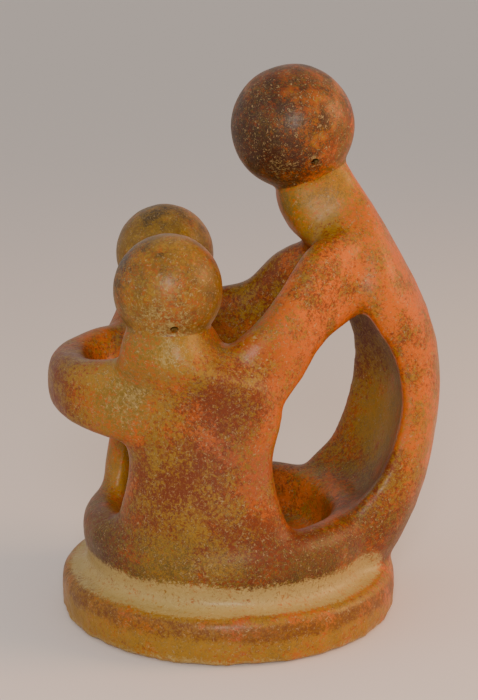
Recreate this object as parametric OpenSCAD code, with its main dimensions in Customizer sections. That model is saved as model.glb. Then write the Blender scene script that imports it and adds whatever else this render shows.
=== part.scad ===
// Hand-built clay family: an adult and two children in a ring on a round plinth, arms
// joined. Every name in NODES is one piece of clay, luted to its neighbours with slip.
// +Z is up and the origin is the middle of the resting face.

/* [Plinth] */
// Diameter of the thrown plinth at its widest
plinth_d = 216; // [206:1:300]
// Height of the plinth, from the table to its ledge
plinth_h = 30; // [24:1:40]
// Radius of the rounded edge round the ledge
plinth_edge = 7; // [4:0.5:9]
// Thickness of the slab that closes the plinth underneath
floor_t = 7; // [5:0.5:10]

/* [Drum] */
// Diameter of the crease where the drum meets the ledge
crease_d = 176; // [168:1:184]
// Diameter of the drum at its fullest
drum_d = 189; // [184:1:196]
// Height of the drum above the ledge, to the crown of its lip
drum_h = 42; // [38:1:50]
// Inside diameter of the well, at its mouth
well_d = 130; // [120:1:138]
// Depth of the well, from the crown of the lip to its floor
well_depth = 30; // [20:1:30]

/* [Clay] */
// Wall of the hollow pieces
wall = 6.5; // [5:0.5:8]
// Diameter of each firing vent
vent_d = 5; // [3:0.5:8]
// Diameter of the air passages between the hollows
passage_d = 6; // [4:0.5:8]

/* [Adult] */
// Bearing of the adult, seen from above
adult_bearing = 11; // [4:1:16]
// Diameter of the adult's head
adult_head_d = 77; // [66:0.5:92]
// Height of the middle of the adult's head
adult_head_z = 309; // [300:1:350]
// Distance of the adult's head from the axis
adult_head_r = 41; // [34:1:52]
// Diameter of the adult's neck
adult_neck_d = 45; // [40:1:52]
// Turn of the adult's back round the axis, from its head, in degrees
adult_turn = 3; // [0:1:6]
// How far the adult's neck leans in, in degrees
adult_neck_tilt = 22; // [14:1:25]
// Width of the adult across the waist
adult_w = 108; // [98:1:114]
// Thickness of the adult's back
adult_t = 28; // [25:0.5:34]
// Distance from the axis to the middle of the adult's back at its fullest
adult_reach = 125; // [118:1:132]

/* [Children] */
// Bearing of the front child
front_bearing = -105; // [-111:1:-99]
// Bearing of the back child
back_bearing = 129; // [123:1:135]
// Turn of the front child's head round the axis, from its body, in degrees
front_lean = -12; // [-16:1:0]
// Turn of the back child's head round the axis, from its body, in degrees
back_lean = -5; // [-10:1:6]
// Diameter of a child's head
child_head_d = 65; // [56:0.5:74]
// Height of the middle of a child's head
child_head_z = 221; // [212:1:240]
// Distance of a child's head from the axis
child_head_r = 76; // [68:1:84]
// Diameter of a child's neck
child_neck_d = 46; // [38:1:50]
// Width of a child across the waist
child_w = 88; // [78:1:96]
// Thickness of a child's back
child_t = 32; // [27:0.5:38]
// Distance from the axis to the middle of a child's back
child_reach = 75; // [70:1:80]

/* [Arms] */
// Height of an arm's section where two hands meet
arm_h = 42; // [34:1:50]
// Thickness of an arm's section
arm_t = 27; // [22:0.5:31]
// Distance from the axis to the middle of the adult's arms where they meet a child's
inner_arm_r = 63; // [57:1:70]
// Distance from the axis to the middle of the children's joined outer arms
outer_arm_r = 101; // [95:1:108]
// Height of the middle of an arm where it leaves a child's shoulder
child_shoulder_z = 170; // [162:1:178]
// Height of the middle of an arm where it leaves the adult's shoulder
adult_shoulder_z = 226; // [216:1:236]
// How much lower the far arms meet than the near ones
far_drop = 16; // [0:1:20]

/* [Hidden] */

// Shades of the fired and painted clay
terracotta = "#b8642f";
ochre = "#b98a3a";
umber = "#6d4a2c";
cream = "#d9bd84";

// Points round a section, sections along a piece and steps along an arc
ring_points = 32;
torso_steps = 20;
arm_steps = 14;
arc_steps = 8;
fine = 120;
// Longer than anything here
big = 2 * plinth_d;
// Powers that square the sections off, and the share a torso's inner face is hollowed by
torso_power = 3.6;
arm_power = 2.8;
dish = 0.25;

lip_z = plinth_h + drum_h;
lip_r = (drum_d + well_d) / 4;
lip_round = (drum_d - well_d) / 4;
well_z = lip_z - well_depth;
well_round = 10;
passage_r = lip_r - passage_d / 2 - 2;

// ---------- Curves ----------

// Smooth curve through the rows of p, with t from 0 to the last row's index
function spline(p, t) =
    let (n = len(p) - 1, i = min(floor(t), n - 1), f = t - i)
    let (a = p[max(i - 1, 0)], b = p[i], c = p[i + 1], d = p[min(i + 2, n)])
    0.5 * (2 * b + (c - a) * f + (2 * a - 5 * b + 4 * c - d) * f * f
        + (3 * b - a - 3 * c + d) * f * f * f);

function slope(p, t) =
    let (n = len(p) - 1, e = 0.02)
    spline(p, min(t + e, n)) - spline(p, max(t - e, 0));

function unit(v) = v / norm(v);
function polar(r, bearing) = [r * cos(bearing), r * sin(bearing)];

// Points of an arc about c
function arc(c, r, from, to) =
    [for (k = [0 : arc_steps]) c + polar(r, from + (to - from) * k / arc_steps)];

// Point at an angle on a section of half width and half height 1, squarer than a circle
function squared(a, power) =
    [cos(a), sin(a)] / pow(pow(abs(cos(a)), power) + pow(abs(sin(a)), power), 1 / power);

// Closed skin over equal rings of points, with a flat cap at each end
module skin(rings) {
    n = len(rings[0]);
    last = (len(rings) - 1) * n;
    sides = [
        for (k = [0 : len(rings) - 2], i = [0 : n - 1])
            let (a = k * n + i, b = k * n + (i + 1) % n)
            each [[a, a + n, b + n], [a, b + n, b]]
    ];
    caps = [[for (i = [0 : n - 1]) i], [for (i = [n - 1 : -1 : 0]) last + i]];
    polyhedron(points = [for (ring = rings) each ring], faces = concat(sides, caps));
}

// Makes one surface of its children
module one_surface() {
    resize([0, 0, 0]) union() children();
}

// Everything above the plane z = 0
module upper_half() {
    translate([-big, -big, 0]) cube(2 * big);
}

// Everything from one bearing round to a larger one, less than half a turn on
module sector(from, to) {
    corners = [[0, 0], polar(big, from), polar(2 * big, (from + to) / 2), polar(big, to)];
    linear_extrude(big) polygon(corners);
}

// ---------- Figures ----------
// A figure is [bearing, spine, head d, head r, head z, neck d, neck tilt, turn of head].
// A spine's rows are distance from the axis, height, half width, half thickness, curl
// and turn. Curl is 1 where a section follows the ring round and 0 where it is straight.

// Depth below the middle of a head at which the neck's rim meets it
function seat(head_d, neck_d) = sqrt(pow(head_d / 2, 2) - pow(neck_d / 2, 2));

// A spine's row on the axis of a neck, at a depth below the middle of the head
function neck_row(head_r, head_z, tilt, depth, half, turn) =
    [head_r + depth * sin(tilt), head_z - depth * cos(tilt), half, half, 0, turn];

adult_seat = seat(adult_head_d, adult_neck_d);
adult_foot_r = adult_reach - 34;
adult_spine = [
    [crease_d / 2 - 8, plinth_h - 6, adult_w / 2 - 8, adult_t / 2 - 1, 1, 2],
    [adult_foot_r, plinth_h + 18, adult_w / 2 + 4, adult_t / 2 + 9, 1.2, 2],
    [adult_reach - 13, plinth_h + 50, adult_w / 2 + 1, adult_t / 2 + 4, 1.5, adult_turn],
    [adult_reach, plinth_h + 100, adult_w / 2, adult_t / 2, 1.7, adult_turn],
    [adult_reach - 7, adult_shoulder_z - 48, adult_w / 2 - 3, adult_t / 2 + 2, 1.5, 2],
    [adult_reach - 36, adult_shoulder_z, adult_w / 2, adult_t / 2 + 6, 0.8, 0],
    neck_row(adult_head_r, adult_head_z, adult_neck_tilt,
        adult_seat + adult_neck_d * 0.5, adult_neck_d / 2 + 3, 0),
    neck_row(adult_head_r, adult_head_z, adult_neck_tilt,
        adult_seat - 4, adult_neck_d / 2 - 0.5, 0),
];

child_seat = seat(child_head_d, child_neck_d);
function child_spine(lean) = [
    [child_reach - 1, plinth_h + 12, child_w / 2 + 20, child_t / 2, 1, 0],
    [child_reach + 2, plinth_h + 46, child_w / 2 + 9, child_t / 2, 1, 0],
    [child_reach, plinth_h + 84, child_w / 2, child_t / 2, 1, 0],
    [child_reach, child_shoulder_z - 12, child_w / 2 + 9, child_t / 2 + 1, 0.9, lean / 3],
    neck_row(child_head_r, child_head_z, 0,
        child_seat + child_neck_d * 0.3, child_neck_d / 2 + 5, lean * 0.85),
    neck_row(child_head_r, child_head_z, 0, child_seat - 4, child_neck_d / 2 - 0.5, lean),
];

ADULT = [adult_bearing, adult_spine, adult_head_d, adult_head_r, adult_head_z,
    adult_neck_d, adult_neck_tilt, 0];
FRONT = [front_bearing, child_spine(front_lean), child_head_d, child_head_r, child_head_z,
    child_neck_d, 0, front_lean];
BACK = [back_bearing, child_spine(back_lean), child_head_d, child_head_r, child_head_z,
    child_neck_d, 0, back_lean];

// Bearings at which two figures' hands meet
near_meet = (adult_bearing + front_bearing) / 2;
far_meet = (adult_bearing + back_bearing) / 2;
outer_meet = (front_bearing + 360 + back_bearing) / 2;

// One section of a torso, with its clay's surface inset, and its figure at bearing 0
function torso_ring(spine, t, inset) =
    let (s = spline(spine, t), d = slope(spine, t), up = unit([d[0], d[1]]))
    [
        for (i = [0 : ring_points - 1])
            let (q = squared(-360 * i / ring_points, torso_power))
            let (u = (s[2] - inset) * q[0], scoop = dish * min(s[4], 1) * (1 - q[0] * q[0]))
            let (thick = (s[3] - inset) * q[1] * (q[1] < 0 ? 1 - scoop : 1))
            let (v = thick - s[4] * u * u / (2 * s[0]))
            let (r = s[0] + v * up[1], z = s[1] - v * up[0])
            [r * cos(s[5]) - u * sin(s[5]), r * sin(s[5]) + u * cos(s[5]), z]
    ];

module torso_body(figure, inset = 0) {
    spine = figure[1];
    n = len(spine) - 1;
    rings = [for (k = [0 : torso_steps]) torso_ring(spine, n * k / torso_steps, inset)];
    rotate([0, 0, figure[0]]) skin(rings);
}

// Puts its children in the middle of a figure's head, with the neck below along -Z
module at_head(figure) {
    rotate([0, 0, figure[0] + figure[7]])
        translate([figure[3], 0, figure[4]])
            rotate([0, -figure[6], 0])
                children();
}

// Hollow torso and neck of a figure, from the drum to its head, less its children
module torso(figure) {
    one_surface() difference() {
        torso_body(figure);
        torso_body(figure, wall);
        at_head(figure) translate([0, 0, -seat(figure[2], figure[5])]) upper_half();
        rotate_extrude($fn = fine) polygon(base_outline());
        children();
    }
}

// Hollow head of a figure, with its vent along a direction given in the head's frame
module head(figure, vent_turn, vent_tilt) {
    radius = figure[2] / 2;
    at_head(figure) difference() {
        sphere(r = radius, $fn = fine);
        sphere(r = radius - wall, $fn = fine);
        rotate([180, 0, 0]) translate([0, 0, seat(figure[2], figure[5])]) upper_half();
        rotate([0, 90 - vent_tilt, vent_turn])
            translate([0, 0, radius - 2 * wall]) cylinder(h = 3 * wall, d = vent_d, $fn = fine);
    }
}

// ---------- Arms ----------
// A path's rows are x, y, z, half height and half thickness, along two joined arms.

function arm_row(bearing, r, z, half_h, half_t) =
    concat(polar(r, bearing), z, arm_h / 2 + half_h, arm_t / 2 + half_t);

// A child's arm and the adult's arm that meets it, from the child
function adult_link(child, adult, drop) =
    let (b = function (f) child + f * (adult - child))
    let (z = function (f) child_shoulder_z + f * (adult_shoulder_z - child_shoulder_z)
        - drop * sin(120 * f))
    [
        arm_row(b(0.04), child_reach - 1, z(0) - 4, -6, -6),
        arm_row(b(0.26), child_reach - 6, z(0), 4, 0),
        arm_row(b(0.5), inner_arm_r, z(0.48), 0, 0),
        arm_row(b(0.7), inner_arm_r + 6, z(0.84), 6, 2),
        arm_row(b(0.84), inner_arm_r + 17, z(0.98), 3, 2),
        arm_row(b(0.98), inner_arm_r + 27, z(1), -7, -4),
    ];

// The two children's joined outer arms
function outer_link(from, to) =
    let (b = function (f) from + f * (to - from), z = child_shoulder_z - 16)
    [
        arm_row(b(0.04), child_reach, z, -3, -6),
        arm_row(b(0.22), child_reach + 9, z - 2, 5, 0),
        arm_row(b(0.36), outer_arm_r - 3, z - 1, 0, 0),
        arm_row(b(0.5), outer_arm_r, z, -2, 0),
        arm_row(b(0.64), outer_arm_r - 3, z - 1, 0, 0),
        arm_row(b(0.78), child_reach + 9, z - 2, 5, 0),
        arm_row(b(0.96), child_reach, z, -3, -6),
    ];

function arm_ring(path, t) =
    let (s = spline(path, t), d = slope(path, t), along = unit([d[0], d[1], d[2]]))
    let (side = unit(cross(along, [0, 0, 1])), up = cross(side, along))
    [
        for (i = [0 : ring_points - 1])
            let (q = squared(-360 * i / ring_points, arm_power))
            [s[0], s[1], s[2]] + s[4] * q[0] * side + s[3] * q[1] * up
    ];

module link(path) {
    n = len(path) - 1;
    skin([for (k = [0 : arm_steps]) arm_ring(path, n * k / arm_steps)]);
}

// One figure's arm: its share of a link, from its torso to where the hands meet
module arm(path, figure, from, to) {
    one_surface() difference() {
        intersection() {
            link(path);
            sector(from, to);
        }
        torso_body(figure);
    }
}

// ---------- Base ----------

// Outside of the drum's wall, from the crease to the crown of the lip, inset
function drum_side(inset) = concat(
    [for (k = [0 : arc_steps])
        let (f = k / arc_steps)
        [crease_d / 2 + (drum_d - crease_d) / 2 * sin(90 * f) - inset,
            plinth_h + (drum_h - lip_round) * f]],
    arc([lip_r, lip_z - lip_round], lip_round - inset, 0, 90)
);

// Inside of the well, from the crown of the lip to the axis, with its clay inset
function well_side(inset) = concat(
    arc([lip_r, lip_z - lip_round], lip_round - inset, 90, 180),
    arc([well_d / 2 - well_round, well_z + well_round], well_round + inset, 0, -90),
    [[0, well_z - inset]]
);

// Half outline of the whole base, for cutting the feet of the figures
function base_outline() = concat(
    [[0, 0], [plinth_d / 2, 0], [plinth_d / 2, plinth_h], [crease_d / 2, plinth_h]],
    drum_side(0), well_side(0)
);

// Reverses a list of points
function back(p) = [for (k = [len(p) - 1 : -1 : 0]) p[k]];

// Passage for air between the adult's hollow and the drum's
module adult_passage() {
    from = crease_d / 2 - 2 * wall;
    rotate([0, 0, adult_bearing])
        translate([from, 0, plinth_h + drum_h / 2])
            rotate([0, 90, 0]) cylinder(h = adult_foot_r + 3 - from, d = passage_d, $fn = 24);
}

// Passage for air between a child's hollow and the drum's
module child_passage(bearing) {
    rotate([0, 0, bearing])
        translate([passage_r, 0, lip_z - lip_round])
            cylinder(h = 2 * lip_round, d = passage_d, $fn = 24);
}

module plinth_floor() {
    color(terracotta) cylinder(h = floor_t, d = plinth_d - 2 * wall, $fn = fine);
}

module plinth() {
    outside = plinth_d / 2;
    inside = outside - wall;
    hole = crease_d / 2 - 2 * wall;
    top = plinth_h - wall;
    edge = arc([outside - plinth_edge, plinth_h - plinth_edge], plinth_edge, 0, 90);
    outline = concat([[outside - 2, 0], [outside, 3]], edge,
        [[hole, plinth_h], [hole, top], [inside, top], [inside, 0]]);
    color(cream) rotate_extrude($fn = fine) polygon(outline);
}

module drum_wall() {
    color(terracotta) difference() {
        rotate_extrude($fn = fine) polygon(concat(drum_side(0), back(drum_side(wall))));
        adult_passage();
    }
}

module well_dish() {
    color(ochre) difference() {
        rotate_extrude($fn = fine) polygon(concat(well_side(0), back(well_side(wall))));
        child_passage(front_bearing);
        child_passage(back_bearing);
    }
}

module adult_torso() {
    color(terracotta) torso(ADULT) adult_passage();
}

module adult_head() {
    color(umber) head(ADULT, -92, -31);
}

module adult_near_arm() {
    color(terracotta)
        arm(adult_link(front_bearing, adult_bearing, 0), ADULT, near_meet, adult_bearing);
}

module adult_far_arm() {
    color(terracotta)
        arm(adult_link(back_bearing, adult_bearing, far_drop), ADULT, adult_bearing, far_meet);
}

module front_child_torso() {
    color(terracotta) torso(FRONT);
}

module front_child_head() {
    color(ochre) head(FRONT, 37, -35);
}

module front_child_near_arm() {
    color(terracotta)
        arm(adult_link(front_bearing, adult_bearing, 0), FRONT, front_bearing, near_meet);
}

module front_child_outer_arm() {
    color(terracotta)
        arm(outer_link(front_bearing + 360, back_bearing), FRONT, outer_meet,
            front_bearing + 360);
}

module back_child_torso() {
    color(terracotta) torso(BACK);
}

module back_child_head() {
    color(ochre) head(BACK, -171, 14);
}

module back_child_far_arm() {
    color(terracotta)
        arm(adult_link(back_bearing, adult_bearing, far_drop), BACK, far_meet, back_bearing);
}

module back_child_outer_arm() {
    color(terracotta)
        arm(outer_link(front_bearing + 360, back_bearing), BACK, back_bearing, outer_meet);
}

plinth_floor();
plinth();
drum_wall();
well_dish();
adult_torso();
adult_head();
adult_near_arm();
adult_far_arm();
front_child_torso();
front_child_head();
front_child_near_arm();
front_child_outer_arm();
back_child_torso();
back_child_head();
back_child_far_arm();
back_child_outer_arm();
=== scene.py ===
"""Looks for the clay family: one smoothed clay body sliced at its luted joints, and the stage."""

import math

import bpy
import numpy as np
from mathutils import Matrix, Vector


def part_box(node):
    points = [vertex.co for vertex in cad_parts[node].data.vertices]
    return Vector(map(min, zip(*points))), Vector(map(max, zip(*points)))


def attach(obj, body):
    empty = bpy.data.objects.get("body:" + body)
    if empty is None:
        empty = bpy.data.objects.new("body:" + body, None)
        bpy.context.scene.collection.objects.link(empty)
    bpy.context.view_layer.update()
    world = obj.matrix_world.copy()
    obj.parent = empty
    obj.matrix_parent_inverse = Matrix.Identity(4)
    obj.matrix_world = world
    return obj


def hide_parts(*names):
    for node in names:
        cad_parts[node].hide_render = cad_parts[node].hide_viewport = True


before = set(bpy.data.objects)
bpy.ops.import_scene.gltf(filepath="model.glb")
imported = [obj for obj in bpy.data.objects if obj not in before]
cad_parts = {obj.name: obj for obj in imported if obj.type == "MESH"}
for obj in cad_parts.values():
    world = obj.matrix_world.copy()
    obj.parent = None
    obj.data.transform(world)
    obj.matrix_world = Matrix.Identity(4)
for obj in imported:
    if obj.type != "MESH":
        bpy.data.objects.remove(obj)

bl_info = {
    "name": "Clay Family",
    "version": (1, 0, 0),
    "blender": (4, 5, 0),
    "location": "View3D > Sidebar > Clay",
    "description": "Models a hand-built terracotta family in a ring and its stage",
    "category": "Add Mesh",
}

# Bearings of the figures round the axis, in degrees, as in the part's source
BEARING = {"adult": 11.0, "front_child": -105.0, "back_child": 129.0}
TORSOS = tuple(who + "_torso" for who in BEARING)
HEADS = tuple(who + "_head" for who in BEARING)
# Each arm, with the figure it belongs to and the one it reaches
ARM_PAIRS = {"adult_near_arm": ("adult", "front_child"),
             "adult_far_arm": ("adult", "back_child"),
             "front_child_near_arm": ("front_child", "adult"),
             "front_child_outer_arm": ("front_child", "back_child"),
             "back_child_far_arm": ("back_child", "adult"),
             "back_child_outer_arm": ("back_child", "front_child")}
BASE = ("drum_wall", "well_dish", "plinth", "plinth_floor")

# Where each head's firing vent points: bearing and elevation, in degrees
VENT = {"adult": (-68.0, -29.0), "front_child": (-80.0, -35.0), "back_child": (-47.0, 14.0)}
# How far each neck's joint leans, in degrees, and half the width of the joint
NECK_TILT = {"adult": 22.0, "front_child": 0.0, "back_child": 0.0}
NECK_HALF = {"adult": 0.0225, "front_child": 0.023, "back_child": 0.023}
# Half width of a torso between its arms and at its foot, and the height of its armpits
TORSO_CUT = {"adult": (0.056, 0.07, 0.15), "front_child": (0.046, 0.08, 0.112),
             "back_child": (0.046, 0.08, 0.112)}

LEDGE_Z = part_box("plinth")[1].z
PLINTH_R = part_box("plinth")[1].x
LIP_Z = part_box("drum_wall")[1].z
DRUM_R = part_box("drum_wall")[1].x
FLOOR_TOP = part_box("plinth_floor")[1].z
FLOOR_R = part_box("plinth_floor")[1].x
WELL_R = 0.065

# How far below the crown of the lip the feet of the figures are parted from the drum
SADDLE = 0.002
# How far a slice reaches past its joint, so that no sliver is left between two pieces
OVERLAP = 0.0004
# How far from the axis the cuts of the back and of the foot of a torso begin
BACK_IN = 0.02
FOOT_IN = 0.03
# How far inside the drum's wall the adult's heel begins
HEEL_IN = 0.006
# Clear of all the clay: outwards, upwards and below the table
OUTSIDE = 0.2
ABOVE = 0.4
BELOW = -0.01
# The block that takes half a pair of arms: outwards, to the side, and its lowest and highest
ARM_BLOCK = (0.16, 0.12, 0.1, 0.3)
# The core that takes the well: its lowest and highest
WELL_CORE = (0.02, 0.1)
# The block round a head and the slab round the plinth, as shares of their radii
HEAD_ROOM = 1.25
PLINTH_ROOM = 1.2
DRILL_LENGTH = 0.024

# A solid ball inside each hollow head, as a share of its radius
PLUG = 0.86
# How much coarser than the grain the first skin is
FIRST_SKIN = 1.25
# Passes of smoothing after the joints are smeared, after the heads are set, and to find wear
SMEARED_PASSES = 9
SEATED_PASSES = 12
WEAR_PASSES = 40
# Marks of palms and thumbs: their size in metres, and their share of the lumps' height
HAND_MARKS = (("palm", 0.05, 1.0), ("thumb", 0.014, 0.35))
# The plinth's chipped lower edge: its height, its depth, and how far down its chips fade in
EDGE_HEIGHT = 0.014
EDGE_DEPTH = 0.012
EDGE_FADE = 0.01
# How wide and how high the chips are
CHIP_SIZE = 0.012
CHIP_HEIGHT = 0.0032
# How far smoothing moves a point that counts as fully rubbed, or as the bottom of a hollow
FULL_WEAR = 0.002
# Corners of the CAD triangles this close are one corner
MERGE = 1e-5
# Edges that turn by more than this, in degrees, stay crisp
CRISP = 50


# ---------- Sizes and colours ----------

def linear(code):
    """Turns an sRGB hex colour into linear red, green, blue and alpha."""
    parts = [int(code[i:i + 2], 16) / 255 for i in (1, 3, 5)]
    return [c / 12.92 if c <= 0.04045 else ((c + 0.055) / 1.055) ** 2.4 for c in parts] + [1]


def colour_property(name, description, code):
    """A colour that the panel shows, with its default from an sRGB hex value."""
    return bpy.props.FloatVectorProperty(
        name=name, description=description, subtype="COLOR", size=4, min=0, max=1,
        default=linear(code))


class ClaySizes(bpy.types.PropertyGroup):
    grain: bpy.props.FloatProperty(
        name="Grain", description="Size of the facets that the clay is smoothed with",
        default=0.0019, min=0.001, max=0.005, unit="LENGTH")
    blend: bpy.props.IntProperty(
        name="Blend", description="How often the luted joints are smeared smooth",
        default=45, min=0, max=90)
    lumps: bpy.props.FloatProperty(
        name="Lumps", description="Height of the unevenness left by hands",
        default=0.0015, min=0.0, max=0.01, unit="LENGTH")
    vent: bpy.props.FloatProperty(
        name="Vent", description="Diameter of each firing vent",
        default=0.005, min=0.002, max=0.01, unit="LENGTH")


class ClayColours(bpy.types.PropertyGroup):
    terracotta: colour_property("Terracotta", "Fired body colour", "#8e460e")
    # Orange also stands for painted warm lamplight on the right side of the adult
    orange: colour_property("Orange", "Brightest rubbed terracotta", "#bd5a0b")
    rose: colour_property("Rose", "Dull rose of thin slip over terracotta", "#85442c")
    oxide: colour_property("Oxide", "Red-brown iron wash", "#5c260e")
    ochre: colour_property("Ochre", "Yellow ochre wash", "#93701c")
    olive: colour_property("Olive", "Thin, greenish ochre over dark clay", "#62521a")
    # Umber also paints shade under the heads, where they meet the necks
    umber: colour_property("Umber", "Dark brown wash of the heads", "#2c1b10")
    cream: colour_property("Cream", "Pale slip on the ledge", "#a99158")
    dust: colour_property("Dust", "Pale scratches and dust", "#cfae74")


class StageSizes(bpy.types.PropertyGroup):
    distance: bpy.props.FloatProperty(
        name="Distance", description="From the axis to the camera, level",
        default=0.95, unit="LENGTH")
    height: bpy.props.FloatProperty(
        name="Height", description="Height of the camera above the table",
        default=0.389, unit="LENGTH")
    aim: bpy.props.FloatProperty(
        name="Aim", description="Height on the axis that the camera looks at",
        default=0.1687, unit="LENGTH")
    side: bpy.props.FloatProperty(
        name="Side", description="How far the camera stands to the right",
        default=0.007, unit="LENGTH")
    lens: bpy.props.FloatProperty(
        name="Lens", description="Focal length of the camera", default=79.0, unit="CAMERA")
    floor: colour_property("Floor", "Colour of the plain floor", "#e2d6d0")


# ---------- Modelling ----------

def deselect():
    if bpy.context.object and bpy.context.object.mode != "OBJECT":
        bpy.ops.object.mode_set(mode="OBJECT")
    bpy.ops.object.select_all(action="DESELECT")


def pick(obj):
    """Selects one object and makes it the active one."""
    deselect()
    obj.select_set(True)
    bpy.context.view_layer.objects.active = obj


def rename(obj, name):
    obj.name = name
    obj.data.name = name
    return obj


def copy_of(source, name):
    """A loose copy of an object with its own mesh, its place kept in the mesh."""
    obj = bpy.data.objects.new(name, source.data.copy())
    bpy.context.scene.collection.objects.link(obj)
    obj.data.transform(source.matrix_world)
    return rename(obj, name)


def clay_from(node):
    """A copy of a CAD node with its loose triangles merged into one skin."""
    obj = copy_of(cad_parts[node], "raw_" + node)
    obj.data.materials.clear()
    pick(obj)
    bpy.ops.object.mode_set(mode="EDIT")
    bpy.ops.mesh.select_all(action="SELECT")
    bpy.ops.mesh.remove_doubles(threshold=MERGE)
    bpy.ops.object.mode_set(mode="OBJECT")
    return obj


def joined(pieces, name):
    """Joins objects into one and names it."""
    pick(pieces[0])
    for piece in pieces[1:]:
        piece.select_set(True)
    bpy.ops.object.join()
    return rename(pieces[0], name)


def finish_with(obj, kind, **settings):
    """Adds a modifier with its settings and applies it."""
    pick(obj)
    modifier = obj.modifiers.new(kind.lower(), kind)
    for key, value in settings.items():
        setattr(modifier, key, value)
    bpy.ops.object.modifier_apply(modifier=modifier.name)


def reskin(obj, size):
    """Gives an object one new closed skin, with facets of a size."""
    finish_with(obj, "REMESH", mode="VOXEL", voxel_size=size)


def smooth(obj, passes):
    finish_with(obj, "SMOOTH", factor=0.5, iterations=passes)


def settle(obj):
    """Puts an object's place, turn and scale into its mesh."""
    pick(obj)
    bpy.ops.object.transform_apply(location=True, rotation=True, scale=True)
    return obj


def ball(centre, radius, name):
    deselect()
    bpy.ops.mesh.primitive_uv_sphere_add(
        segments=48, ring_count=24, radius=radius, location=centre)
    return settle(rename(bpy.context.object, name))


def block(low, high, turn, name, origin=(0, 0, 0), tilt=0.0):
    """A box between two corners of a frame turned to a bearing, tilted in and then moved."""
    deselect()
    low, high = Vector(low), Vector(high)
    bpy.ops.mesh.primitive_cube_add(size=1)
    obj = rename(bpy.context.object, name)
    obj.data.transform(Matrix.Translation((low + high) / 2) @ Matrix.Diagonal(
        (*(high - low), 1)))
    obj.data.transform(Matrix.Rotation(math.radians(-tilt), 4, "Y"))
    obj.data.transform(Matrix.Rotation(math.radians(turn), 4, "Z"))
    obj.data.transform(Matrix.Translation(origin))
    return obj


def disc(radius, low, high, name):
    """An upright round block about the axis."""
    deselect()
    bpy.ops.mesh.primitive_cylinder_add(
        vertices=256, radius=radius, depth=high - low, location=(0, 0, (low + high) / 2))
    return settle(rename(bpy.context.object, name))


def combine(obj, tool, operation):
    """Boolean of one closed mesh with another."""
    finish_with(obj, "BOOLEAN", object=tool, operation=operation, solver="MANIFOLD")


def sliced(rest, tools, name):
    """Takes what lies inside the tools off the rest, as a piece of its own."""
    tool = joined(tools, "tool") if len(tools) > 1 else tools[0]
    piece = copy_of(rest, name)
    combine(piece, tool, "INTERSECT")
    combine(rest, tool, "DIFFERENCE")
    bpy.data.objects.remove(tool)
    return piece


def noise_texture(name, size, depth):
    texture = bpy.data.textures.new(name, "CLOUDS")
    texture.noise_scale = size
    texture.noise_depth = depth
    return texture


def head_centre(name):
    """Middle and radius of a head, from the box of its node."""
    low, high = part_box(name)
    radius = (high.y - low.y) / 2
    return Vector(((low.x + high.x) / 2, (low.y + high.y) / 2, high.z - radius)), radius


def head_turn(who):
    """Bearing of a figure's head round the axis, in degrees."""
    centre = head_centre(who + "_head")[0]
    return math.degrees(math.atan2(centre.y, centre.x))


def knead_body(sizes):
    """One skin over every piece of clay, with the luted joints smeared smooth."""
    clay = [clay_from(node) for node in TORSOS + tuple(ARM_PAIRS) + BASE]
    for name in HEADS:
        centre, radius = head_centre(name)
        clay.append(ball(centre, radius * PLUG, "plug"))
    body = joined(clay, "family_body")
    reskin(body, sizes.grain * FIRST_SKIN)
    smeared = copy_of(body, "smeared")
    smooth(smeared, sizes.blend)
    body = joined([body, smeared], "family_body")
    reskin(body, sizes.grain)
    smooth(body, SMEARED_PASSES)
    rolled = [ball(*head_centre(name), "rolled") for name in HEADS]
    body = joined([body] + rolled, "family_body")
    reskin(body, sizes.grain)
    smooth(body, SEATED_PASSES)
    for name, size, share in HAND_MARKS:
        finish_with(body, "DISPLACE", texture=noise_texture(name, size, 1),
                    texture_coords="LOCAL", strength=sizes.lumps * share, mid_level=0.5)
    chip_edge(body)
    table = block((-1, -1, -1), (1, 1, 0), 0, "table")
    combine(body, table, "DIFFERENCE")
    bpy.data.objects.remove(table)
    weather(body)
    return body


def chip_edge(body):
    """Roughens the lower edge of the plinth, where it was trimmed and knocked."""
    group = body.vertex_groups.new(name="edge")
    for vertex in body.data.vertices:
        out = math.hypot(vertex.co.x, vertex.co.y)
        if vertex.co.z < EDGE_HEIGHT and out > PLINTH_R - EDGE_DEPTH:
            share = min(1.0, (EDGE_HEIGHT - vertex.co.z) / EDGE_FADE)
            group.add([vertex.index], share, "REPLACE")
    finish_with(body, "DISPLACE", texture=noise_texture("chips", CHIP_SIZE, 2),
                texture_coords="LOCAL", vertex_group="edge", strength=CHIP_HEIGHT,
                mid_level=0.6)
    body.vertex_groups.clear()


def weather(body):
    """Marks hollows dark and rims light in a colour attribute, which the washes follow.

    A rim that smoothing pulls in by FULL_WEAR gets 1, and a hollow that it fills by that, 0."""
    eased = copy_of(body, "eased")
    smooth(eased, WEAR_PASSES)
    count = len(body.data.vertices)
    here, there, normal = (np.empty(count * 3) for _ in range(3))
    body.data.vertices.foreach_get("co", here)
    eased.data.vertices.foreach_get("co", there)
    body.data.vertex_normals.foreach_get("vector", normal)
    moved = ((here - there) * normal).reshape(-1, 3).sum(1)
    wear = np.clip(0.5 + moved / (2 * FULL_WEAR), 0, 1)
    attribute = body.data.color_attributes.new("wear", "FLOAT_COLOR", "POINT")
    attribute.data.foreach_set("color", np.repeat(wear, 4))
    bpy.data.objects.remove(eased)


def carry_wear(source, piece):
    """Gives a sliced piece the wear of the body it came from."""
    finish_with(piece, "DATA_TRANSFER", object=source, use_vert_data=True,
                data_types_verts={"COLOR_VERTEX"}, vert_mapping="NEAREST",
                layers_vcol_vert_select_src="ALL", layers_vcol_vert_select_dst="NAME")


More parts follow.
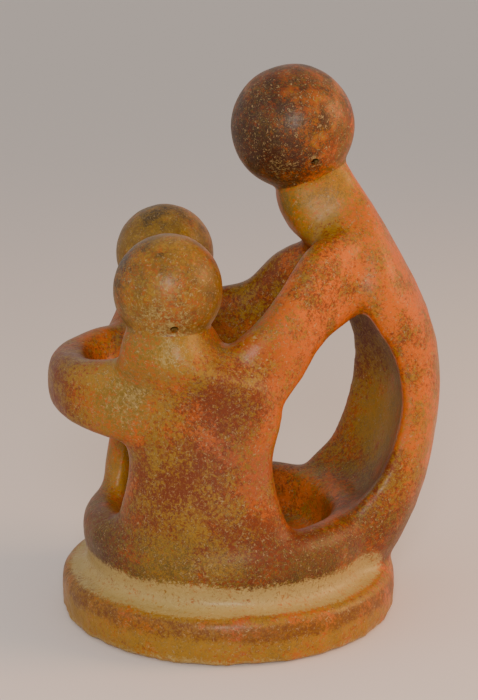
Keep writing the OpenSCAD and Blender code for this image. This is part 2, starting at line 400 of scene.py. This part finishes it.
def head_piece(body, who, sizes):
    """Slices a head off at its seat and pierces its firing vent."""
    centre, radius = head_centre(who + "_head")
    reach = radius * HEAD_ROOM
    seat_depth = math.sqrt(radius ** 2 - NECK_HALF[who] ** 2)
    seat = block((-reach, -reach, -seat_depth), (reach, reach, reach), head_turn(who), "seat",
                 centre, NECK_TILT[who])
    piece = sliced(body, [seat], who + "_head")
    bearing, elevation = (math.radians(a) for a in VENT[who])
    along = Vector((math.cos(bearing) * math.cos(elevation),
                    math.sin(bearing) * math.cos(elevation), math.sin(elevation)))
    deselect()
    bpy.ops.mesh.primitive_cylinder_add(
        vertices=24, radius=sizes.vent / 2, depth=DRILL_LENGTH,
        location=centre + along * radius, rotation=along.to_track_quat("Z", "Y").to_euler())
    drill = settle(bpy.context.object)
    combine(piece, drill, "DIFFERENCE")
    bpy.data.objects.remove(drill)
    return piece


def torso_piece(body, who):
    """Slices a torso free at its shoulders and at the drum."""
    turn = BEARING[who]
    seam = LIP_Z - SADDLE
    half, foot, armpit = TORSO_CUT[who]
    blocks = [block((BACK_IN, -half, armpit), (OUTSIDE, half, ABOVE), turn, "back"),
              block((FOOT_IN, -foot, seam), (OUTSIDE, foot, armpit), turn, "foot")]
    if who == "adult":
        blocks.append(block((DRUM_R - HEEL_IN, -foot, LEDGE_Z), (OUTSIDE, foot, seam), turn,
                            "heel"))
    return sliced(body, blocks, who + "_torso")


def arm_piece(body, who, other, name):
    """Slices off a figure's half of the arms that it joins with another's."""
    start, end = BEARING[who], BEARING[other]
    apart = (end - start + 180) % 360 - 180
    out, width, bottom, top = ARM_BLOCK
    side = -math.copysign(width, apart)
    low = (0, min(side, 0) - OVERLAP, bottom)
    high = (out, max(side, 0) + OVERLAP, top)
    return sliced(body, [block(low, high, start + apart / 2, "half")], name)


# ---------- Materials ----------

# Settings that several nodes share
SMOOTHLY = {"interpolation_type": "SMOOTHSTEP"}
LAYERED = {"data_type": "RGBA", "clamp_factor": True}
# How strongly the dabs break a wash up, and half the range of amount over which it thickens
BREAK_UP = 2.6
WASH_EDGE = 0.3
# Share of a spot's reach over which it fades out
SPOT_FADE = 0.95
# Pores about 4.3 mm apart, per metre
PORES = 230.0


def add_node(tree, kind, settings=None, inputs=None, output=0):
    """Adds a node with its settings and gives back one of its outputs.

    Each input gets a value, or a link where it is given a socket."""
    node = tree.nodes.new(kind)
    for key, value in (settings or {}).items():
        setattr(node, key, value)
    for key, value in (inputs or {}).items():
        if isinstance(value, bpy.types.NodeSocket):
            tree.links.new(value, node.inputs[key])
        else:
            node.inputs[key].default_value = value
    return node.outputs[output]


def total(tree, start, *terms):
    """Adds to a starting number each socket times its weight."""
    for socket, weight in terms:
        start = add_node(tree, "ShaderNodeMath", {"operation": "MULTIPLY_ADD"},
                         {0: socket, 1: weight, 2: start})
    return start


def within(tree, *bands):
    """1 where all its bands are. A band is a value, where it gives 0 and where it gives 1."""
    inside = None
    for value, none, full in bands:
        band = add_node(tree, "ShaderNodeMapRange", SMOOTHLY,
                        {"Value": value, "From Min": none, "From Max": full})
        inside = band if inside is None else add_node(
            tree, "ShaderNodeMath", {"operation": "MULTIPLY"}, {0: inside, 1: band})
    return inside


def mottle(tree, place, size_mm, detail, distortion=0.0, roughness=0.55, offset=0.0):
    """Noise about 0 whose blotches are about size_mm across."""
    moved = add_node(tree, "ShaderNodeVectorMath", {"operation": "ADD"},
                     {0: place, 1: (offset, offset * 0.7, -offset)})
    noise = add_node(tree, "ShaderNodeTexNoise", {},
                     {"Vector": moved, "Scale": 500.0 / size_mm, "Detail": detail,
                      "Roughness": roughness, "Distortion": distortion}, "Fac")
    return add_node(tree, "ShaderNodeMath", {"operation": "SUBTRACT"}, {0: noise, 1: 0.5})


def patches(tree, place, spots):
    """1 in the middle of each spot, a point and its reach, fading to 0 at the reach."""
    most = None
    for centre, reach in spots:
        away = add_node(tree, "ShaderNodeVectorMath", {"operation": "DISTANCE"},
                        {0: place, 1: centre}, "Value")
        spot = within(tree, (away, reach, reach * (1 - SPOT_FADE)))
        most = spot if most is None else add_node(
            tree, "ShaderNodeMath", {"operation": "MAXIMUM"}, {0: most, 1: spot})
    return most


def wash(tree, under, over, amount, dabs, cover):
    """Lays a wash over a colour, broken up into dabs, thicker where its amount is more."""
    thick = add_node(tree, "ShaderNodeMapRange", SMOOTHLY,
                     {"Value": total(tree, amount, (dabs, BREAK_UP)),
                      "From Min": 0.5 - WASH_EDGE, "From Max": 0.5 + WASH_EDGE,
                      "To Max": cover})
    return add_node(tree, "ShaderNodeMix", LAYERED, {0: thick, 6: under, 7: list(over)}, 2)


def fired(tree, colours, warm):
    """The bare clay, from its fired colour to the orange where it was rubbed or where warm
    lamplight is painted.
    """
    return add_node(tree, "ShaderNodeMix", LAYERED,
                    {0: within(tree, (warm, 0.1, 0.9)), 6: list(colours.terracotta),
                     7: list(colours.orange)}, 2)


def clay_material(name):
    """A material with its tree, its object coordinates, and its shader."""
    material = bpy.data.materials.new(name)
    material.use_nodes = True
    tree = material.node_tree
    place = add_node(tree, "ShaderNodeTexCoord", output="Object")
    return material, tree, place, tree.nodes["Principled BSDF"]


def surface(tree, place, shader, colours, colour, flecks):
    """Waxed low-fired clay: satin where it was rubbed, dull in pits, with dust in its flecks."""
    speck = add_node(tree, "ShaderNodeMapRange", SMOOTHLY,
                     {"Value": flecks, "From Min": 0.06, "From Max": 0.18, "To Max": 0.4})
    colour = add_node(tree, "ShaderNodeMix", LAYERED,
                      {0: speck, 6: colour, 7: list(colours.dust)}, 2)
    grit = mottle(tree, place, 1.1, 2.0, offset=3.0)
    pores = add_node(tree, "ShaderNodeTexVoronoi", {"feature": "F1"},
                     {"Vector": place, "Scale": PORES, "Randomness": 1.0}, "Distance")
    pits = within(tree, (pores, 0.2, 0.08))
    strokes = mottle(tree, place, 9.0, 4.0, 0.5, offset=5.0)
    height = total(tree, 0.5, (grit, 0.5), (strokes, 0.7), (pits, -0.4))
    bump = add_node(tree, "ShaderNodeBump", {},
                    {"Strength": 0.6, "Distance": 0.0009, "Height": height}, "Normal")
    gloss = total(tree, 0.43, (strokes, 0.4), (grit, 0.3), (speck, 0.25))
    tree.links.new(gloss, shader.inputs["Roughness"])
    tree.links.new(colour, shader.inputs["Base Color"])
    tree.links.new(bump, shader.inputs["Normal"])
    shader.inputs["IOR"].default_value = 1.5
    shader.inputs["Specular IOR Level"].default_value = 0.22
    shader.inputs["Coat Weight"].default_value = 0.1
    shader.inputs["Coat Roughness"].default_value = 0.36


# Where each wash was laid on most, where painted shade goes under the heads and where warm
# lamplight is painted, as a point and its reach in metres
OCHRE_SPOTS = (((-0.062, -0.075, 0.16), 0.055), ((-0.035, -0.095, 0.188), 0.045),
               ((-0.045, -0.088, 0.145), 0.04), ((0.065, -0.012, 0.272), 0.025),
               ((-0.02, -0.1, 0.078), 0.022), ((-0.04, -0.085, 0.055), 0.04),
               ((0.0, -0.1, 0.06), 0.03), ((0.05, -0.015, 0.26), 0.04),
               ((0.1, 0.04, 0.12), 0.05), ((0.07, 0.09, 0.05), 0.06),
               ((-0.05, 0.09, 0.17), 0.05), ((-0.07, 0.01, 0.09), 0.035),
               ((0.13, 0.03, 0.18), 0.05), ((0.0, 0.09, 0.12), 0.05))
OXIDE_SPOTS = (((-0.03, -0.09, 0.105), 0.055), ((0.005, -0.095, 0.155), 0.04),
               ((-0.085, -0.05, 0.06), 0.035), ((0.01, -0.09, 0.07), 0.035),
               ((-0.105, -0.04, 0.155), 0.045), ((0.05, -0.08, 0.055), 0.035),
               ((0.09, 0.06, 0.16), 0.05), ((0.03, 0.07, 0.2), 0.05),
               ((0.06, -0.02, 0.245), 0.02), ((-0.05, 0.08, 0.1), 0.05),
               ((0.095, -0.03, 0.1), 0.022))
ROSE_SPOTS = (((0.0, -0.095, 0.155), 0.05), ((-0.01, -0.095, 0.125), 0.04),
              ((-0.108, -0.037, 0.155), 0.035), ((-0.08, -0.05, 0.17), 0.03),
              ((0.01, -0.107, 0.022), 0.05), ((0.09, 0.03, 0.1), 0.03),
              ((0.02, -0.08, 0.11), 0.03))
# Orange spots: rubbed terracotta, and painted warm lamplight on the right side of the adult
ORANGE_AND_LAMPLIT_SPOTS = (((0.09, -0.04, 0.22), 0.1), ((0.13, -0.02, 0.13), 0.1),
              ((0.04, 0.02, 0.06), 0.08), ((-0.08, 0.02, 0.11), 0.06),
              ((0.07, 0.0, 0.28), 0.05), ((-0.07, 0.01, 0.165), 0.035),
              ((0.04, -0.06, 0.14), 0.05))
OLIVE_SPOTS = (((-0.035, -0.085, 0.195), 0.045), ((-0.05, -0.09, 0.135), 0.035),
               ((-0.06, -0.08, 0.155), 0.045), ((0.032, -0.015, 0.26), 0.03),
               ((-0.05, 0.06, 0.19), 0.04), ((0.1, 0.02, 0.15), 0.04))
# Painted shade under the heads where they meet the necks, and a dark patch low at the front left
PAINTED_SHADE_SPOTS = (((0.06, -0.018, 0.277), 0.02), ((-0.01, -0.075, 0.19), 0.02),
              ((0.02, 0.01, 0.265), 0.03), ((-0.09, -0.06, 0.05), 0.03))
PALE_SPOTS = (((-0.035, -0.097, 0.188), 0.03), ((0.037, -0.018, 0.25), 0.016),
              ((-0.06, -0.075, 0.155), 0.04), ((0.035, -0.02, 0.275), 0.012),
              ((-0.015, -0.1, 0.05), 0.03))


def painted_terracotta(colours):
    """Low-fired terracotta, rubbed with iron oxide and ochre washes and waxed."""
    material, tree, place, shader = clay_material("washed terracotta")
    broad = mottle(tree, place, 38, 4.0, 0.2)
    other = mottle(tree, place, 30, 4.0, 0.2, offset=6.4)
    middle = mottle(tree, place, 7, 4.0, 0.2, 0.6, 1.3)
    dabs = mottle(tree, place, 1.0, 4.0, 0.8, 0.75, 2.1)
    more_dabs = mottle(tree, place, 1.2, 4.0, 0.8, 0.75, 7.7)
    flecks = mottle(tree, place, 0.9, 3.0, 1.2, 0.7, 9.2)
    z = add_node(tree, "ShaderNodeSeparateXYZ", {}, {"Vector": place}, "Z")
    level_place = add_node(tree, "ShaderNodeVectorMath", {"operation": "MULTIPLY"},
                           {0: place, 1: (1, 1, 0)})
    away = add_node(tree, "ShaderNodeVectorMath", {"operation": "LENGTH"}, {0: level_place},
                    "Value")
    level = total(tree, z, (middle, 0.008), (broad, 0.012))
    wear = add_node(tree, "ShaderNodeVertexColor", {"layer_name": "wear"}, output="Color")
    hollow = within(tree, (wear, 0.42, 0.2))
    rim = within(tree, (wear, 0.7, 0.95))
    on_base = within(tree, (z, 0.036, 0.03))
    drum = within(tree, (level, 0.1, 0.06), (z, 0.031, 0.036), (away, 0.07, 0.085))
    ragged = total(tree, away, (broad, 0.01))
    ledge = within(tree, (level, 0.053, 0.041), (ragged, 0.107, 0.099), (z, 0.024, 0.028),
                   (away, 0.08, 0.086))
    edge = within(tree, (level, 0.031, 0.026), (level, 0.01, 0.02))
    foot = within(tree, (level, 0.01, 0.0))

    # Terracotta rubbed to orange, with painted warm lamplight on the right side of the adult
    colour = fired(tree, colours, total(
        tree, 0.35, (patches(tree, place, ORANGE_AND_LAMPLIT_SPOTS), 0.6), (broad, 1.4), (on_base, 0.1)))
    # Thin rose slip, then the iron oxide, thickest in hollows and low on the drum
    colour = wash(tree, colour, colours.rose, total(
        tree, 0.1, (patches(tree, place, ROSE_SPOTS), 0.6), (other, -1.0), (middle, 0.7)),
        flecks, 0.75)
    colour = wash(tree, colour, colours.oxide, total(
        tree, 0.44, (patches(tree, place, OXIDE_SPOTS), 0.68), (other, 1.3), (drum, 0.18),
        (middle, 1.5), (hollow, 0.3), (rim, -0.15)), dabs, 0.85)
    # Ochre over it, greenish where it is thin over dark clay
    colour = wash(tree, colour, colours.ochre, total(
        tree, 0.3, (patches(tree, place, OCHRE_SPOTS), 0.5), (broad, -1.0), (middle, 1.5),
        (on_base, 0.4)), more_dabs, 0.8)
    colour = wash(tree, colour, colours.olive, total(
        tree, -0.08, (drum, 0.6), (other, -1.6), (patches(tree, place, OLIVE_SPOTS), 0.55)),
        more_dabs, 0.75)
    # Umber flecks, with painted shade under the heads at the necks
    colour = wash(tree, colour, colours.umber, total(
        tree, 0.2, (drum, 0.28), (middle, 1.1), (hollow, 0.1),
        (patches(tree, place, PAINTED_SHADE_SPOTS), 0.35)), flecks, 0.65)
    colour = wash(tree, colour, colours.cream, total(
        tree, -0.12, (patches(tree, place, PALE_SPOTS), 0.45), (middle, 0.8)), dabs, 0.7)
    # Cream slip on the ledge, a dark rim outside it, and pale clay where the foot is worn
    colour = wash(tree, colour, colours.cream, total(
        tree, -0.35, (ledge, 1.15), (middle, 0.5)), dabs, 0.9)
    colour = wash(tree, colour, colours.oxide, total(
        tree, -0.3, (edge, 0.85), (middle, 0.8)), more_dabs, 0.75)
    colour = wash(tree, colour, colours.cream, total(
        tree, -0.2, (foot, 0.8), (middle, 1.0)), dabs, 0.8)
    surface(tree, place, shader, colours, colour, flecks)
    return material


# Where the adult's head shows orange on its right, partly its terracotta and partly painted warm
# lamplight; where its wash is darkest and where it is pale
HEAD_ORANGE_AND_LAMPLIT = (((0.085, 0.0, 0.315), 0.045), ((0.065, -0.01, 0.28), 0.03))
HEAD_DARK = (((0.015, -0.02, 0.305), 0.05), ((0.06, -0.03, 0.315), 0.014),
             ((0.03, 0.03, 0.32), 0.045), ((-0.055, -0.07, 0.235), 0.025),
             ((-0.05, 0.05, 0.25), 0.03))
HEAD_PALE = (((-0.035, -0.098, 0.207), 0.04), ((-0.05, 0.03, 0.205), 0.03),
             ((0.03, -0.03, 0.282), 0.025), ((0.0526, -0.0235, 0.2905), 0.009),
             ((-0.03, -0.094, 0.2025), 0.009))


def burnished_head(colours, dark, name):
    """The same clay under a dark umber wash, burnished on the balls of the heads."""
    material, tree, place, shader = clay_material(name)
    broad = mottle(tree, place, 24, 4.0, 0.3, offset=4.0)
    other = mottle(tree, place, 20, 4.0, 0.2, offset=6.4)
    middle = mottle(tree, place, 5, 4.0, 0.2, 0.65, 2.2)
    dabs = mottle(tree, place, 1.0, 4.0, 0.8, 0.75, 0.6)
    more_dabs = mottle(tree, place, 1.2, 4.0, 0.8, 0.75, 7.7)
    flecks = mottle(tree, place, 0.9, 3.0, 1.2, 0.65, 9.2)
    darker = patches(tree, place, HEAD_DARK)

    # Orange on the right of the adult's head, partly painted warm lamplight
    colour = fired(tree, colours, total(
        tree, 0.15, (patches(tree, place, HEAD_ORANGE_AND_LAMPLIT), 0.8), (broad, 1.0)))
    colour = wash(tree, colour, colours.oxide, total(
        tree, 0.35 + 0.2 * dark, (other, 1.8), (middle, 1.2), (darker, 0.2)), dabs, 0.8)
    colour = wash(tree, colour, colours.olive, total(
        tree, 0.68 - 0.25 * dark, (broad, -1.6), (middle, 1.1)), more_dabs, 0.75)
    colour = wash(tree, colour, colours.ochre, total(
        tree, 0.35 - 0.2 * dark, (other, -1.4), (middle, -0.9)), dabs, 0.7)
    colour = wash(tree, colour, colours.umber, total(
        tree, 0.17 + 0.18 * dark, (darker, 0.5), (middle, 1.4), (broad, 1.4)), flecks, 0.85)
    colour = wash(tree, colour, colours.cream, total(
        tree, -0.15, (patches(tree, place, HEAD_PALE), 0.55), (middle, 0.9)), more_dabs, 0.6)
    surface(tree, place, shader, colours, colour, flecks)
    return material


def matt_floor(colour):
    """A plain matt board, pale and even, that takes the shadow and mirrors nothing."""
    material = bpy.data.materials.new("plain floor")
    material.use_nodes = True
    shader = material.node_tree.nodes["Principled BSDF"]
    shader.inputs["Base Color"].default_value = list(colour)
    shader.inputs["Roughness"].default_value = 0.85
    return material


# ---------- Operators ----------

# What one operator leaves for the next: the body, its whole copy and the washed material
WORK = {}
# So wide that its edge stays far off in every view, in metres
FLOOR_SPREAD = 120.0
# Each light's place, its size in metres, its power in watts and its colour
LIGHTS = {"key": ((0.0, -1.4, 0.72), 0.35, 14, "#fbf4ee"),
          "warm": ((1.5, -0.1, 0.8), 0.8, 22, "#ffbe80"),
          "fill": ((-1.6, -0.6, 0.9), 1.2, 2.5, "#e8eeff")}
# The middle of the figures, which the lights point at
LIT = (0, 0, 0.17)
ROOM_COLOUR = "#e9e4de"
ROOM_LIGHT = 0.76
# Width of the camera's sensor, in millimetres
SENSOR = 36


def dress(piece, name, material):
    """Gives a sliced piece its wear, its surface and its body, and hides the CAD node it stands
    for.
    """
    carry_wear(WORK["whole"], piece)
    pick(piece)
    bpy.ops.object.shade_smooth_by_angle(angle=math.radians(CRISP))
    piece.data.materials.clear()
    piece.data.materials.append(material)
    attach(piece, "root")
    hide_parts(name)


class CLAY_OT_knead(bpy.types.Operator):
    """Knead every piece of clay into one body, to be sliced at its joints"""
    bl_idname = "clay.knead"
    bl_label = "Knead"

    def execute(self, context):
        WORK["body"] = knead_body(context.scene.clay_sizes)
        WORK["whole"] = copy_of(WORK["body"], "whole")
        WORK["washed"] = painted_terracotta(context.scene.clay_colours)
        return {"FINISHED"}


class CLAY_OT_heads(bpy.types.Operator):
    """Slice off the three ball heads, pierce their vents and burnish them"""
    bl_idname = "clay.heads"
    bl_label = "Heads"

    def execute(self, context):
        colours = context.scene.clay_colours
        adult = burnished_head(colours, 1.0, "burnished umber")
        child = burnished_head(colours, 0.0, "burnished ochre")
        for who in BEARING:
            piece = head_piece(WORK["body"], who, context.scene.clay_sizes)
            name = who + "_head"
            dress(piece, name, adult if who == "adult" else child)
        return {"FINISHED"}


class CLAY_OT_torsos(bpy.types.Operator):
    """Slice the three torsos free at their shoulders and at the drum"""
    bl_idname = "clay.torsos"
    bl_label = "Torsos"

    def execute(self, context):
        for who in BEARING:
            piece = torso_piece(WORK["body"], who)
            dress(piece, who + "_torso", WORK["washed"])
        return {"FINISHED"}


class CLAY_OT_arms(bpy.types.Operator):
    """Slice the ring of arms into six, at the shoulders and where hands meet"""
    bl_idname = "clay.arms"
    bl_label = "Arms"

    def execute(self, context):
        for name, (who, other) in ARM_PAIRS.items():
            piece = arm_piece(WORK["body"], who, other, name)
            dress(piece, name, WORK["washed"])
        return {"FINISHED"}


class CLAY_OT_base(bpy.types.Operator):
    """Slice the plinth, its floor, the well and the drum out of what is left"""
    bl_idname = "clay.base"
    bl_label = "Base"

    def execute(self, context):
        body, washed = WORK["body"], WORK["washed"]
        floor = sliced(body, [disc(FLOOR_R, BELOW, FLOOR_TOP, "core")], "plinth_floor")
        slab = disc(PLINTH_R * PLINTH_ROOM, BELOW, LEDGE_Z, "slab")
        plinth = sliced(body, [slab], "plinth")
        lip_r = (DRUM_R + WELL_R) / 2
        dish = sliced(body, [disc(lip_r, *WELL_CORE, "well")], "well_dish")
        dress(floor, "plinth_floor", washed)
        dress(plinth, "plinth", washed)
        dress(dish, "well_dish", washed)
        dress(rename(body, "drum_wall"), "drum_wall", washed)
        bpy.data.objects.remove(WORK["whole"])
        return {"FINISHED"}


class CLAY_OT_stage(bpy.types.Operator):
    """Set the floor, the soft lights and the camera"""
    bl_idname = "clay.stage"
    bl_label = "Stage"

    def execute(self, context):
        stage = context.scene.clay_stage
        deselect()
        bpy.ops.mesh.primitive_circle_add(vertices=96, radius=FLOOR_SPREAD, fill_type="NGON")
        floor = rename(bpy.context.object, "floor")
        floor.data.materials.append(matt_floor(stage.floor))
        deselect()
        bpy.ops.object.camera_add(location=(stage.side, -stage.distance, stage.height))
        camera = bpy.context.object
        target = Vector((stage.side, 0, stage.aim))
        camera.rotation_euler = (target - camera.location).to_track_quat("-Z", "Y").to_euler()
        camera.data.lens = stage.lens
        camera.data.sensor_width = SENSOR
        context.scene.camera = camera
        for name, (place, size, power, code) in LIGHTS.items():
            bpy.ops.object.light_add(type="AREA", location=place)
            light = rename(bpy.context.object, name)
            light.data.size = size
            light.data.energy = power
            light.data.color = linear(code)[:3]
            aim = Vector(LIT) - light.location
            light.rotation_euler = aim.to_track_quat("-Z", "Y").to_euler()
        world = bpy.data.worlds.new("studio")
        context.scene.world = world
        world.use_nodes = True
        background = world.node_tree.nodes["Background"]
        background.inputs["Color"].default_value = linear(ROOM_COLOUR)
        background.inputs["Strength"].default_value = ROOM_LIGHT
        return {"FINISHED"}


STEPS = (CLAY_OT_knead, CLAY_OT_heads, CLAY_OT_torsos, CLAY_OT_arms, CLAY_OT_base,
         CLAY_OT_stage)


class CLAY_PT_panel(bpy.types.Panel):
    """Sizes, colours and steps of the clay family"""
    bl_idname = "CLAY_PT_panel"
    bl_label = "Clay Family"
    bl_space_type = "VIEW_3D"
    bl_region_type = "UI"
    bl_category = "Clay"

    def draw(self, context):
        for group in (context.scene.clay_sizes, context.scene.clay_colours,
                      context.scene.clay_stage):
            for key in group.__annotations__:
                self.layout.prop(group, key)
        for operator in STEPS:
            self.layout.operator(operator.bl_idname)


CLASSES = (ClaySizes, ClayColours, StageSizes) + STEPS + (CLAY_PT_panel,)
GROUPS = {"clay_sizes": ClaySizes, "clay_colours": ClayColours, "clay_stage": StageSizes}


def register():
    for cls in CLASSES:
        bpy.utils.register_class(cls)
    for name, group in GROUPS.items():
        setattr(bpy.types.Scene, name, bpy.props.PointerProperty(type=group))


def unregister():
    for name in GROUPS:
        delattr(bpy.types.Scene, name)
    for cls in reversed(CLASSES):
        bpy.utils.unregister_class(cls)


def main():
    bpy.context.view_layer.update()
    register()
    bpy.ops.clay.knead()
    bpy.ops.clay.heads()
    bpy.ops.clay.torsos()
    bpy.ops.clay.arms()
    bpy.ops.clay.base()
    bpy.ops.clay.stage()


if __name__ == "__main__":
    main()
